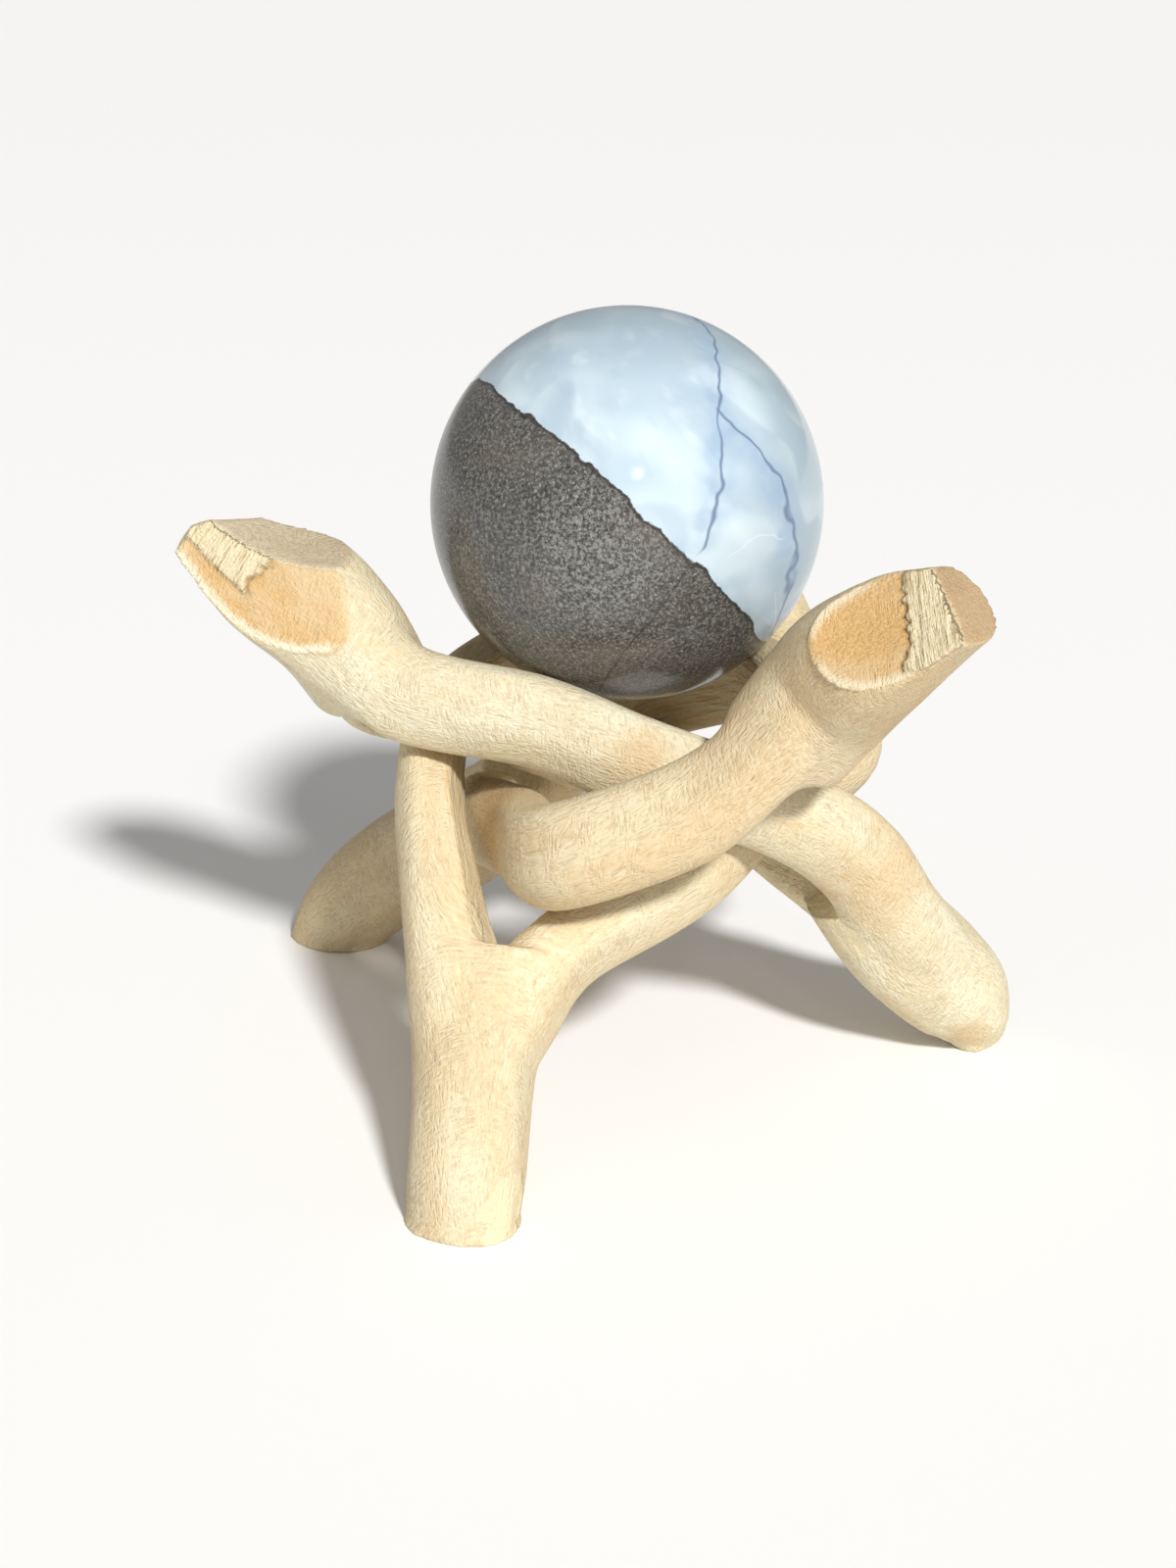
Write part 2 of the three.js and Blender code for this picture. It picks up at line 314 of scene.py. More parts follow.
def readPoints(mesh):
    values = np.empty(len(mesh.vertices) * 3, np.float32)
    mesh.vertices.foreach_get("co", values)
    return values.reshape(-1, 3).astype(float)


def readEdges(mesh):
    values = np.empty(len(mesh.edges) * 2, np.int32)
    mesh.edges.foreach_get("vertices", values)
    return values.reshape(-1, 2)


# The mean of each point's neighbours.
def neighbourMean(points, edges):
    count = len(points)
    total = np.empty_like(points)
    for axis in range(points.shape[1]):
        column = points[:, axis]
        total[:, axis] = np.bincount(edges[:, 0], column[edges[:, 1]], count)
        total[:, axis] += np.bincount(edges[:, 1], column[edges[:, 0]], count)
    links = np.bincount(edges.ravel(), minlength=count)
    return total / np.maximum(links, 1)[:, None]


def vertexNormals(mesh, points):
    mesh.vertices.foreach_set("co", points.astype(np.float32).ravel())
    mesh.update()
    values = np.empty(len(mesh.vertices) * 3, np.float32)
    mesh.vertices.foreach_get("normal", values)
    return values.reshape(-1, 3).astype(float)


# Smooth noise between -1 and 1: random values on a lattice, eased between its eight corners. A
# value comes from mixing the bits of the corner's place with large odd numbers.
def noise(points, seed):
    cell = np.floor(points).astype(np.int64)
    f = points - cell
    f = f * f * (3 - 2 * f)
    total = np.zeros(len(points))
    for corner in range(8):
        step = np.array([corner & 1, (corner >> 1) & 1, (corner >> 2) & 1])
        key = (cell + step) @ np.array([73856093, 19349663, 83492791]) + seed * 2654435761
        key = (key ^ (key >> 13)) * 1274126177 & 0x7FFFFFFF
        key = (key ^ (key >> 11)) * 1103515245 & 0x7FFFFFFF
        weight = np.prod(np.where(step, f, 1 - f), axis=1)
        total += weight * (((key >> 7) % 65536) / 32767.5 - 1)
    return total


def smoothStep(values, low, high):
    t = np.clip((values - low) / (high - low), 0, 1)
    return t * t * (3 - 2 * t)


# Noise over two lengths on a numbered layer, so that two patterns don't repeat each other.
def layerNoise(x, y, layer, seed):
    return noise(np.stack([x, y, 0 * x + layer], axis=1), seed)


# A wave is how far a line wanders, and over what length.
def waveNoise(wave, x, layer, seed):
    reach, length = wave
    return reach * layerNoise(x / length, 0 * x, layer, seed)


# Heights are in millimetres, and a length or width is the size of one wave.
relief = {
    "handWave": 0.26, "handWaveLength": 13,       # long unevenness of a shape cut by eye
    "planes": 0.42, "planeCount": 5,              # the long planes that go round each limb
    "planeWander": (0.3, 20),
    "knifeWave": 0.13, "knifeLength": 16, "knifeWidth": 4.2,
    "fibre": 0.035, "fibreLength": 3, "fibreWidth": 0.9,
    "slotRough": 0.16, "slotLength": 7, "slotWidth": 0.9,    # ridges along the faces of a slot
    "sawnFacing": (0.55, 0.8),                    # a slot's face looks this squarely into the slot
    "sawnShare": (0.5, 0.68),                     # and is this share of the half width out
    "footFade": 1.2,                              # the relief starts at the ground, in full here
}


# Where each point lies in the wood, in five columns: along, across and up the fibre, how surely
# it is on the sawn face of a strand, and how near it is to the middle of one of the long planes
# (0 on the ridge between two). For every limb the nearest ring gives the values; the limbs are
# mixed by closeness, so the fibre flows through the forks.
def fibreCoordinates(points, normals, paths, axes):
    crossing = np.array(stand["crossing"])
    total = np.zeros((len(points), 5))
    weights = np.zeros(len(points))
    batch = 20000
    for limb, path in paths.items():
        rings = path["centre"][::2]
        nearest = np.empty(len(points), int)
        for start in range(0, len(points), batch):
            part = points[start:start + batch]
            gap = (part**2).sum(1)[:, None] - 2 * part @ rings.T + (rings**2).sum(1)
            nearest[start:start + batch] = gap.argmin(1) * 2
        away = points - path["centre"][nearest]
        across, up, size = path["across"][nearest], path["up"][nearest], path["size"][nearest]
        along = (path["centre"][nearest] - crossing) @ axes[0] + (away * path["tangent"][nearest]).sum(1)
        x, y = (away * across).sum(1), (away * up).sum(1)
        turn = np.arctan2(y / size[:, 1], x / size[:, 0])
        wander = waveNoise(relief["planeWander"], along, 0, limbs[limb]["seed"])
        turns = relief["planeCount"] * turn / (2 * math.pi) + wander
        planes = 1 - 4 * (turns - np.floor(turns) - 0.5) ** 2
        side = limbs[limb]["sawnSide"]
        sawn = smoothStep(side * (normals * across).sum(1), *relief["sawnFacing"])
        sawn = sawn * smoothStep(side * x / size[:, 0], *relief["sawnShare"])
        distance = np.sqrt((away**2).sum(1)) / size.mean(1)
        weight = np.exp(-stand["limbFade"] * distance)
        total += weight[:, None] * np.stack([along, x, y, sawn, planes], axis=1)
        weights += weight
    return total / weights[:, None]


# The directions that belong to a flat: outwards, towards the tip, and upwards along it.
def flatFrame(flat, axes):
    facing = np.array(flat["facing"], float) @ axes
    facing /= np.linalg.norm(facing)
    lengthways = axes[0] - (axes[0] @ facing) * facing
    lengthways /= np.linalg.norm(lengthways)
    crossways = np.cross(facing, lengthways)
    crossways *= np.sign(crossways @ axes[2])
    return np.array(stand["crossing"]) + np.array(flat["spot"], float) @ axes, facing, lengthways, crossways


# How far the gouge rises above the deepest line of a scoop, at a distance along the flat.
def gougeHeight(flat, along):
    radius = flat.get("hollow", 0)
    return radius - np.sqrt(np.maximum(radius**2 - along**2, 0))


# A scoop takes away all of the arm that lies above the gouge.
def scoopArm(member, axes, points):
    for flat in member["flats"]:
        if "hollow" in flat:
            spot, facing, lengthways, _ = flatFrame(flat, axes)
            away = points - spot
            above = away @ facing - gougeHeight(flat, away @ lengthways)
            points = points - np.maximum(above, 0)[:, None] * facing
    return points

# How a flat is told from the round wood beside it, and how frayed its rims are.
flatRules = {
    "height": (0.9, 0.35),        # a point belongs to the flat from this near to its plane
    "facing": (0.86, 0.95),       # and from this squarely
    "behind": 0.5,                # a point that faces away from it more than this is no part of it
    "armFrom": 40,                # flats are on the arm alone
    "reach": 3.0,                 # the pattern on the flats ends this far from them
    "apart": 40.0,                # and differs from flat to flat
    "fringes": (0.6, 0.6), "fringeLeast": 0.15, "fringeRise": (0.5, 4.0),
}

# Torn fibre on a flat: the waves of its edges, the ridges up it, and the crack beside it: a shallow
# groove, with painted shade in it.
tearing = {
    "longWave": (1.5, 2.2), "shortWave": (0.7, 0.8), "lowerWave": (0.5, 2.5),
    "edge": (-0.2, 0.25),
    "bend": 0.8, "bendLength": 6, "bendWidth": 5,
    "lift": 0.26, "ridge": 0.16, "ridgePitch": 1.1, "ridgeLength": 9,
    "crackShift": 0.3, "crackWidth": 0.36, "crackDepth": 0.45, "crackEnd": (-0.8, 0.4),
    "lowerCrack": 0.25, "crackMean": 0.65, "crackChange": 0.5, "crackCell": 2,
}


# The torn part of one flat: where it is torn, its crack with painted shade in it, which also sinks
# the surface, and its rise. x goes towards the tip and y up the flat. The tear lies past one ragged
# line and above another.
def tearMarks(torn, x, y, near, seed):
    start, slant, low, slope = torn
    ragged = waveNoise(tearing["longWave"], y, 3.3, seed)
    ragged += waveNoise(tearing["shortWave"], y, 8.1, seed)
    past = x - start - slant * y - ragged
    under = y - low - slope * (x - start) + waveNoise(tearing["lowerWave"], x, 1.7, seed)
    tear = near * smoothStep(np.minimum(past, under), *tearing["edge"])
    bend = tearing["bend"] * layerNoise(x / tearing["bendLength"], y / tearing["bendWidth"], 0, seed + 1)
    ridge = layerNoise((x + bend) / tearing["ridgePitch"], y / tearing["ridgeLength"], 0, seed + 2)
    rise = tear * (tearing["lift"] + tearing["ridge"] * ridge)
    shift, width = tearing["crackShift"], tearing["crackWidth"]
    # painted shade: the crack along the torn edge is darkened
    crack = near * np.exp(-((past + shift) / width) ** 2) * smoothStep(under, *tearing["crackEnd"])
    crack += near * tearing["lowerCrack"] * np.exp(-((under + shift) / width) ** 2) * (past > 0)
    change = layerNoise(x / tearing["crackCell"], y / tearing["crackCell"], 4.4, seed + 4)
    crack *= tearing["crackMean"] + tearing["crackChange"] * change
    return tear, crack, rise - crack * tearing["crackDepth"]


# The saw and chisel flats: what each point shows (tan, dull wood with painted shade, brown),
# whether it is on torn fibre or in the crack beside it with its painted shade, how frayed the rim
# is there, how much the point is raised, and its place on the flat.
def flatMarks(member, axes, points, normals, local):
    names = ("tan", "dull", "brown", "torn", "crack", "fringe", "rise")
    marks = {name: np.zeros(len(points)) for name in names}
    place, least = np.zeros((len(points), 3)), np.full(len(points), flatRules["reach"])
    highest, lowest = flatRules["height"]
    for number, flat in enumerate(member["flats"]):
        spot, facing, lengthways, crossways = flatFrame(flat, axes)
        away = points - spot
        x, y = away @ lengthways, away @ crossways
        height = np.abs(away @ facing - gougeHeight(flat, x)) + 2 * (normals @ facing < flatRules["behind"])
        near = smoothStep(-height, -highest, -lowest)
        near *= smoothStep(normals @ facing, *flatRules["facing"]) * (local[:, 0] > flatRules["armFrom"])
        marks[flat["shows"]] = np.maximum(marks[flat["shows"]], near)
        here = np.stack([x, y, flatRules["apart"] * number + 0 * x], axis=1)
        place = np.where((height < least)[:, None], here, place)
        least = np.minimum(least, height)
        below, above = flat.get("fringes", flatRules["fringes"])
        fringe = np.where(y < 0, below, above) * smoothStep(np.abs(y), *flatRules["fringeRise"])
        marks["fringe"] = np.maximum(marks["fringe"], near * (fringe + flatRules["fringeLeast"]))
        if "torn" in flat:
            tear, crack, rise = tearMarks(flat["torn"], x, y, near, member["seed"] + 7 * number)
            marks["torn"] = np.maximum(marks["torn"], tear)
            marks["crack"] = np.maximum(marks["crack"], crack)
            marks["rise"] += rise
    return marks, place


# An "edge" is where a mark starts and where it is full, as a share of its radius.
scars = {
    "raggedLength": 1.6,
    "stain": {"strength": 0.5, "edge": (1.4, 0.3), "wander": 0.3, "wanderLength": 3},
    "chip": {
        "stretch": (0.7, 1, 1), "wander": 0.25, "edge": (1.05, 0.9), "torn": 0.8,
        "depth": 0.18, "ridge": 0.2, "ridges": (0.25, 1.4, 1.4),
    },
    "nick": {
        "depth": 0.2, "width": 0.38, "wander": 0.25, "taper": 0.08, "shade": 0.16,
        "lip": 0.2, "lipAt": 0.8, "lipWidth": 0.4,
    },
}


# Stains, chips and nicks: soft tan spots, patches of torn fibre, and knife lines with a lip and
# painted shade in the cut.
def handMarks(member, local, fibre, marks):
    seed = member["seed"]
    ragged = noise(local / scars["raggedLength"], seed + 5)
    stain, chip, nick = scars["stain"], scars["chip"], scars["nick"]
    for along, side, lift, radius in member["stains"]:
        off = np.linalg.norm(local - (along, side, lift), axis=1) / radius
        off += stain["wander"] * noise(local / stain["wanderLength"], seed + 6)
        spot = smoothStep(-off, -stain["edge"][0], -stain["edge"][1])
        marks["tan"] = np.maximum(marks["tan"], stain["strength"] * spot)
    for along, side, lift, radius in member["chips"]:
        off = np.linalg.norm((local - (along, side, lift)) * chip["stretch"], axis=1) / radius
        off += chip["wander"] * ragged
        spot = smoothStep(-off, -chip["edge"][0], -chip["edge"][1])
        ridge = noise(fibre * chip["ridges"], seed + 8)
        marks["rise"] += spot * (chip["ridge"] * ridge - chip["depth"])
        marks["torn"] = np.maximum(marks["torn"], chip["torn"] * spot)
    for first, last in member["nicks"]:
        first, span = np.array(first, float), np.array(last, float) - np.array(first, float)
        share = np.clip((local - first) @ span / (span @ span), 0, 1)
        off = local - first - share[:, None] * span
        away = np.linalg.norm(off, axis=1) + nick["wander"] * ragged
        taper = smoothStep(share * (1 - share), 0, nick["taper"])
        cut = np.exp(-((away / nick["width"]) ** 2)) * taper
        lip = np.exp(-(((away - nick["lipAt"]) / nick["lipWidth"]) ** 2)) * (off[:, 0] > 0) * taper
        marks["rise"] += nick["lip"] * lip - nick["depth"] * cut
        # painted shade in the knife cut
        marks["crack"] = np.maximum(marks["crack"], nick["shade"] * cut)


# The member in the rough: its limbs in one skin, level at the ground and flat on the arm.
def roughMember(member, axes, paths):
    crossing = np.array(stand["crossing"])
    flats = [
        (crossing + np.array(flat["spot"], float) @ axes, np.array(flat["facing"], float) @ axes)
        for flat in member["flats"] if "hollow" not in flat
    ]
    cuts = {"leg": [((0, 0, 0), (0, 0, -1))], "arm": flats}
    rough = bmesh.new()
    for limb, path in paths.items():
        points, faces = limbSurface(path, limbs[limb]["sawnSide"])
        if limb == "arm":
            points = scoopArm(member, axes, points)
        addLimb(rough, points, faces, cuts.get(limb, []))
    mesh = fusedMesh(rough, stand["grid"])
    rough.free()
    return mesh


# Smoothing, lightly all over and more at the forks: each pass pulls a point to its neighbours.
def smoothPoints(points, edges, axes):
    for _ in range(stand["lightPasses"]):
        points += stand["lightPull"] * (neighbourMean(points, edges) - points)
    local = (points - np.array(stand["crossing"])) @ axes.T
    for fork in stand["forks"]:
        soft = smoothStep(-np.abs(local[:, 0] - fork["along"]), -fork["reach"], -fork["full"])
        for _ in range(fork["passes"]):
            points += stand["forkPull"] * soft[:, None] * (neighbourMean(points, edges) - points)


# The mean of each point and its neighbours, taken again and again.
def spread(values, edges, passes):
    for _ in range(passes):
        values = 0.5 * values + 0.5 * neighbourMean(values[:, None], edges)[:, 0]
    return values


# How far each point rises: hand and knife waves and long planes on the round wood, fibre all
# over but on torn wood, and ridges on the sawn faces.
def carvedRise(member, points, fibre, sawn, planes, marks, flat):
    seed, plain = member["seed"], 1 - flat
    rise = marks["rise"] + plain * relief["handWave"] * noise(points / relief["handWaveLength"], seed)
    rise -= plain * (1 - sawn) * relief["planes"] * planes
    knife = fibre / (relief["knifeLength"], relief["knifeWidth"], relief["knifeWidth"])
    rise += plain * relief["knifeWave"] * noise(knife, seed + 1)
    strands = fibre / (relief["fibreLength"], relief["fibreWidth"], relief["fibreWidth"])
    rise += (1 - marks["torn"]) * relief["fibre"] * noise(strands, seed + 2)
    ridges = fibre / (relief["slotLength"], relief["slotWidth"], relief["slotWidth"])
    rise += sawn * relief["slotRough"] * noise(ridges, seed + 3)
    return rise * smoothStep(points[:, 2], 0.0, relief["footFade"])


def addAttributes(mesh, marks, vectors):
    for name, values in marks.items():
        layer = mesh.attributes.new(name, "FLOAT", "POINT")
        layer.data.foreach_set("value", values.astype(np.float32))
    for name, values in vectors.items():
        layer = mesh.attributes.new(name, "FLOAT_VECTOR", "POINT")
        layer.data.foreach_set("vector", values.astype(np.float32).ravel())


def makeMember(member):
    axes = memberAxes(member)
    paths = {limb: limbPath(member, axes, limb, stand["rings"]) for limb in pattern}
    mesh = roughMember(member, axes, paths)
    points, edges = readPoints(mesh), readEdges(mesh)
    smoothPoints(points, edges, axes)

    normals = vertexNormals(mesh, points)
    local = (points - np.array(stand["crossing"])) @ axes.T
    edge = ((points - neighbourMean(points, edges)) * normals).sum(1) / stand["grid"]
    edge = spread(edge, edges, stand["edgePasses"])
    fibre = fibreCoordinates(points, normals, paths, axes)
    for _ in range(stand["fibrePasses"]):
        fibre = neighbourMean(fibre, edges)
    sawn, planes, fibre = fibre[:, 3], fibre[:, 4], fibre[:, :3]
    marks, place = flatMarks(member, axes, points, normals, local)
    flat = np.clip(marks["tan"] + marks["dull"] + marks["brown"], 0, 1)
    inside = spread(flat, edges, stand["frayPasses"])
    start, full = stand["frayEdge"]
    frayed = smoothStep(-inside, -start, -full) * np.minimum(marks.pop("fringe"), 1)
    handMarks(member, local, fibre, marks)

    rise = carvedRise(member, points, fibre, sawn, planes, marks, flat)
    points += normals * (rise - stand["inset"])[:, None]
    points[:, 2] = np.maximum(points[:, 2], 0)
    mesh.vertices.foreach_set("co", (points * mm).astype(np.float32).ravel())
    mesh.update()
    del marks["rise"]
    marks.update(sharpEdge=edge, sawn=sawn, frayed=frayed)
    addAttributes(mesh, marks, {"fibre": fibre, "flatPlace": place})
    mesh.polygons.foreach_set("use_smooth", np.ones(len(mesh.polygons), bool))
    mesh.name = member["node"] + "_carved"
    piece = bpy.data.objects.new(member["node"] + "_carved", mesh)
    bpy.context.scene.collection.objects.link(piece)
    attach(piece, "root")
    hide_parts(member["node"])
    print("carved", member["node"], len(mesh.vertices), "points,", len(mesh.polygons), "cells")
    return piece


# A number, colour or vector in a node tree, so that + - * work on it as on plain values.
class Wire:
    def __init__(self, finish, socket):
        self.finish, self.socket = finish, socket

    def __add__(self, other):
        return self.finish.math("ADD", self, other)

    def __sub__(self, other):
        return self.finish.math("SUBTRACT", self, other)

    def __rsub__(self, other):
        return self.finish.math("SUBTRACT", other, self)

    def __mul__(self, other):
        return self.finish.math("MULTIPLY", self, other)

    def __pow__(self, other):
        return self.finish.math("POWER", self, other)

    def __rpow__(self, other):
        return self.finish.math("POWER", other, self)

    def __abs__(self):
        return self.finish.math("ABSOLUTE", self)

    __radd__ = __add__
    __rmul__ = __mul__


class Finish:
    def __init__(self, name):
        self.material = bpy.data.materials.new(name)
        self.material.use_nodes = True
        self.tree = self.material.node_tree
        self.tree.nodes.clear()

    # Any node: its type, its settings, and the values or links of its sockets by name or number.
    def node(self, kind, settings=None, inputs=None, out=0):
        made = self.tree.nodes.new(kind)
        for name, value in (settings or {}).items():
            if name == "stops":
                self.setStops(made.color_ramp, value)
            else:
                setattr(made, name, value)
        for name, value in (inputs or {}).items():
            if isinstance(value, Wire):
                self.tree.links.new(value.socket, made.inputs[name])
            else:
                made.inputs[name].default_value = value
        return Wire(self, made.outputs[out])

    def setStops(self, ramp, stops):
        while len(ramp.elements) < len(stops):
            ramp.elements.new(0.5)
        for element, (place, color) in zip(ramp.elements, stops):
            element.position, element.color = place, (*color, 1)

    def math(self, operation, *values):
        return self.node("ShaderNodeMath", {"operation": operation}, dict(enumerate(values)))

    def ramp(self, value, *stops):
        return self.node("ShaderNodeValToRGB", {"stops": stops}, {0: value})

    # 0 at start, 1 at full and eased between, where full may be the lower of the two.
    def ease(self, value, start, full):
        if full < start:
            value, start, full = 0 - value, -start, -full
        inputs = {"Value": value, "From Min": start, "From Max": full}
        return self.node("ShaderNodeMapRange", {"interpolation_type": "SMOOTHSTEP"}, inputs)

    def blend(self, amount, first, second):
        first, second = [c if isinstance(c, Wire) else (*c, 1) for c in (first, second)]
        inputs = {"Factor": amount, 6: first, 7: second}
        return self.node("ShaderNodeMix", {"data_type": "RGBA"}, inputs, 2)

    # Noise from a row of a table. Its cell, turn and move stretch the place, and "own" is how much
    # of the shift goes to each axis; a row without a cell has a scale alone.
    def grain(self, place, row, shift=0.0):
        still = (0.0, 0.0, 0.0)
        if "cell" in row:
            move = [fixed + shift * own for fixed, own in zip(row.get("move", still), row.get("own", still))]
            place = self.stretched(place, row["cell"], row.get("turn", still), move)
        inputs = {"Vector": place, "Scale": row.get("scale", 1.0)}
        inputs.update({"Detail": row.get("detail", 2), "Roughness": row.get("roughness", 0.5)})
        return self.node("ShaderNodeTexNoise", None, inputs)

    # Colour layers over a ground: (pattern, start, full, strength, colour).
    def layered(self, ground, layers, patterns, hue):
        for name, start, full, strength, shown in layers:
            ground = self.blend(self.ease(patterns[name], start, full) * strength, ground, hue[shown])
        return ground

    def attribute(self, name, out="Fac"):
        return self.node("ShaderNodeAttribute", {"attribute_name": name}, None, out)

    # The place divided into cells of a given size, first moved and turned.
    def stretched(self, place, cell, turn, move):
        inputs = {"Vector": place, "Scale": cell, "Rotation": turn, "Location": move}
        return self.node("ShaderNodeMapping", {"vector_type": "TEXTURE"}, inputs)

    def dot(self, place, direction):
        inputs = {0: place, 1: direction}
        return self.node("ShaderNodeVectorMath", {"operation": "DOT_PRODUCT"}, inputs, "Value")

    def bump(self, height, distance):
        return self.node("ShaderNodeBump", None, {"Height": height, "Distance": distance})

    def surface(self, constants, **linked):
        shader = self.tree.nodes.new("ShaderNodeBsdfPrincipled")
        for name, value in constants.items():
            shader.inputs[name].default_value = value
        for name, wire in linked.items():
            self.tree.links.new(wire.socket, shader.inputs[name.replace("_", " ")])
        output = self.tree.nodes.new("ShaderNodeOutputMaterial")
        self.tree.links.new(shader.outputs[0], output.inputs[0])
        return self.material


woodColours = {
    "cream": (0.735, 0.645, 0.44),
    "butter": (0.70, 0.565, 0.35),
    # dull tone for random patches and end grain, and the ground of the painted shade on the dull flats
    "dull": (0.60, 0.475, 0.305),
    "pale": (0.80, 0.725, 0.535),
    # fibre strokes, and also the painted shade in inward creases
    "strokeAndShade": (0.56, 0.425, 0.25),
    "tan": (0.66, 0.43, 0.195),
    "tanDeep": (0.58, 0.355, 0.145),
    "tornPale": (0.78, 0.67, 0.44),
    "tornDark": (0.48, 0.34, 0.17),
    "brown": (0.47, 0.32, 0.18),
    # painted shade on the dull flats
    "shade": (0.50, 0.40, 0.265),
    # painted shade in the cracks and knife cuts
    "crack": (0.25, 0.155, 0.07),
}

# Which colours take a member's tint.
woodTinted = ("cream", "butter", "dull", "pale", "strokeAndShade")

# Cells are in millimetres, along, across and up the fibre, or along and up a flat.
woodPatterns = {
    "clouds": {"cell": (22, 8, 8), "own": (1, 0.7, 0), "detail": 3},
    "patches": {"cell": (7, 5, 5), "move": (31, 0, 0), "own": (0, 1, 0)},
    "drift": {"cell": (13, 6, 6), "move": (0, 17, 5), "own": (1, 0, 0), "detail": 3, "roughness": 0.55},
    "strokes": {"cell": (1.7, 0.34, 0.34), "turn": (0, 0.1, 0.15), "own": (1, 0.7, 0), "roughness": 0.6},
    "hatch": {"cell": (0.34, 1.5, 1.5), "turn": (0.2, 0.25, 0.35), "own": (1, 0.7, 0), "roughness": 0.6},
    "felt": {"cell": (0.5, 0.34, 0.34), "own": (1, 0.7, 0), "roughness": 0.7},
    "pores": {"cell": (1.5, 0.4, 0.4), "move": (7, 0, 3), "own": (0, 1, 0), "detail": 1},
    "ribs": {"cell": (7, 0.5, 0.5), "own": (1, 0.7, 0), "detail": 3, "roughness": 0.6},
}
flatPatterns = {
    "stripes": {"cell": (0.5, 4.5, 1), "turn": (0, 0, 0.1), "detail": 3, "roughness": 0.6},
    "fringe": {"cell": (0.42, 3, 1), "turn": (0, 0, -0.15), "move": (9, 2, 0), "roughness": 0.6},
}

# Layers of colour over the cream ground, in order: what drives a layer, where that starts to
# show and where it shows in full, how strong it is, and its colour.
woodLayers = [
    ("clouds", 0.34, 0.6, 1.0, "butter"),
    ("patches", 0.5, 0.75, 0.35, "dull"),
    ("drift", 0.6, 0.76, 0.5, "tan"),
    ("lines", 0.5, 0.66, 0.55, "strokeAndShade"),
    ("lines", 0.48, 0.32, 0.6, "pale"),
    ("felt", 0.52, 0.7, 0.5, "strokeAndShade"),
    ("pores", 0.68, 0.8, 0.55, "brown"),
]
# What each mark covers the wood with: how strongly, the ground and the layers over it.
markLayers = [
    ("tan", 1.0, "tan", [("felt", 0.35, 0.65, 1.0, "tanDeep"), ("clouds", 0.45, 0.65, 0.45, "butter")]),
    # painted shade: the dull flats are darkened, with the shade colour in their lines and clouds
    ("dull", 0.85, "dull", [("lines", 0.4, 0.62, 1.0, "shade"), ("clouds", 0.45, 0.6, 0.6, "shade")]),
    ("brown", 0.95, "brown", [("felt", 0.45, 0.7, 0.6, "dull")]),
    ("frayed", 1.0, "pale", [("felt", 0.45, 0.6, 1.0, "tornPale")]),
    ("sawn", 0.85, "tornPale", [("ribs", 0.42, 0.7, 1.0, "tan")]),
    ("torn", 1.0, "tornPale", [("stripes", 0.5, 0.72, 1.0, "tornDark")]),
]
# Worn ridges are pale, and the lines where two planes meet inwards get painted shade.
edgeLayers = [("sharpEdge", 0.05, 0.16, 0.6, "pale"), ("sharpEdge", -0.06, -0.2, 0.4, "strokeAndShade")]

woodFinish = {
    "crossed": (0.38, 0.62),      # patches in which the strokes run across the fibre
    "frayed": (0.46, 0.62), "frayedMore": 0.25,
    "crack": 0.75,
    "bumpDepth": 0.0005,
    "bump": {"lines": 0.75, "felt": 0.4, "pores": 0.25, "torn": 1.4, "sawn": 1.2},
    "roughness": 0.6, "strokeRoughness": 0.25,
    "specular": 0.22,
}


# Bare wood: cream with butter and dull clouds, short fibre strokes and cross hatching, tan where
# the saw left it flat, painted shade on the dull flats, torn fibre in light and dark stripes with
# painted shade in the crack beside it, pale worn edges, and painted shade in the inward creases.
def woodMaterial(member):
    wood = Finish(member["slot"])
    hue = dict(woodColours)
    for key in woodTinted:
        hue[key] = tuple(part * tint for part, tint in zip(hue[key], member["tone"]))
    fibre, flatPlace = wood.attribute("fibre", "Vector"), wood.attribute("flatPlace", "Vector")
    names = ("tan", "dull", "brown", "torn", "crack", "sharpEdge", "sawn", "frayed")
    mark = {each: wood.attribute(each) for each in names}
    seen = {each: wood.grain(fibre, row, member["grainShift"]) for each, row in woodPatterns.items()}
    seen.update({each: wood.grain(flatPlace, row) for each, row in flatPatterns.items()})

    # strokes go with the fibre in one patch and across it in the next
    crossed = wood.ease(seen["patches"], *woodFinish["crossed"])
    seen["lines"] = seen["strokes"] * (1 - crossed) + seen["hatch"] * crossed
    seen["sharpEdge"] = mark["sharpEdge"]
    fringe = wood.ease(seen["fringe"] + mark["frayed"] * woodFinish["frayedMore"], *woodFinish["frayed"])
    mark["frayed"] = mark["frayed"] * mark["tan"] * fringe

    body = wood.layered(hue["cream"], woodLayers, seen, hue)
    for name, cover, ground, layers in markLayers:
        body = wood.blend(mark[name] * cover, body, wood.layered(hue[ground], layers, seen, hue))
    body = wood.layered(body, edgeLayers, seen, hue)
    # painted shade in the cracks and nicks
    body = wood.blend(mark["crack"] * woodFinish["crack"], body, hue["crack"])

    depth = woodFinish["bump"]
    height = seen["lines"] * depth["lines"] + seen["felt"] * depth["felt"] - seen["pores"] * depth["pores"]
    height = height + mark["torn"] * seen["stripes"] * depth["torn"]
    height = height + mark["sawn"] * seen["ribs"] * depth["sawn"]
    normal = wood.bump(height, woodFinish["bumpDepth"])
    roughness = seen["lines"] * woodFinish["strokeRoughness"] + woodFinish["roughness"]
    shine = {"Specular IOR Level": woodFinish["specular"]}
    return wood.surface(shine, Base_Color=body, Roughness=roughness, Normal=normal)


sphereLow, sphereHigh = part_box("stone_sphere")
sphere = {
    "centre": (sphereLow + sphereHigh) / 2,
    "radius": (sphereHigh.z - sphereLow.z) / 2,
    "meridians": 224,
    "parallels": 112,
}


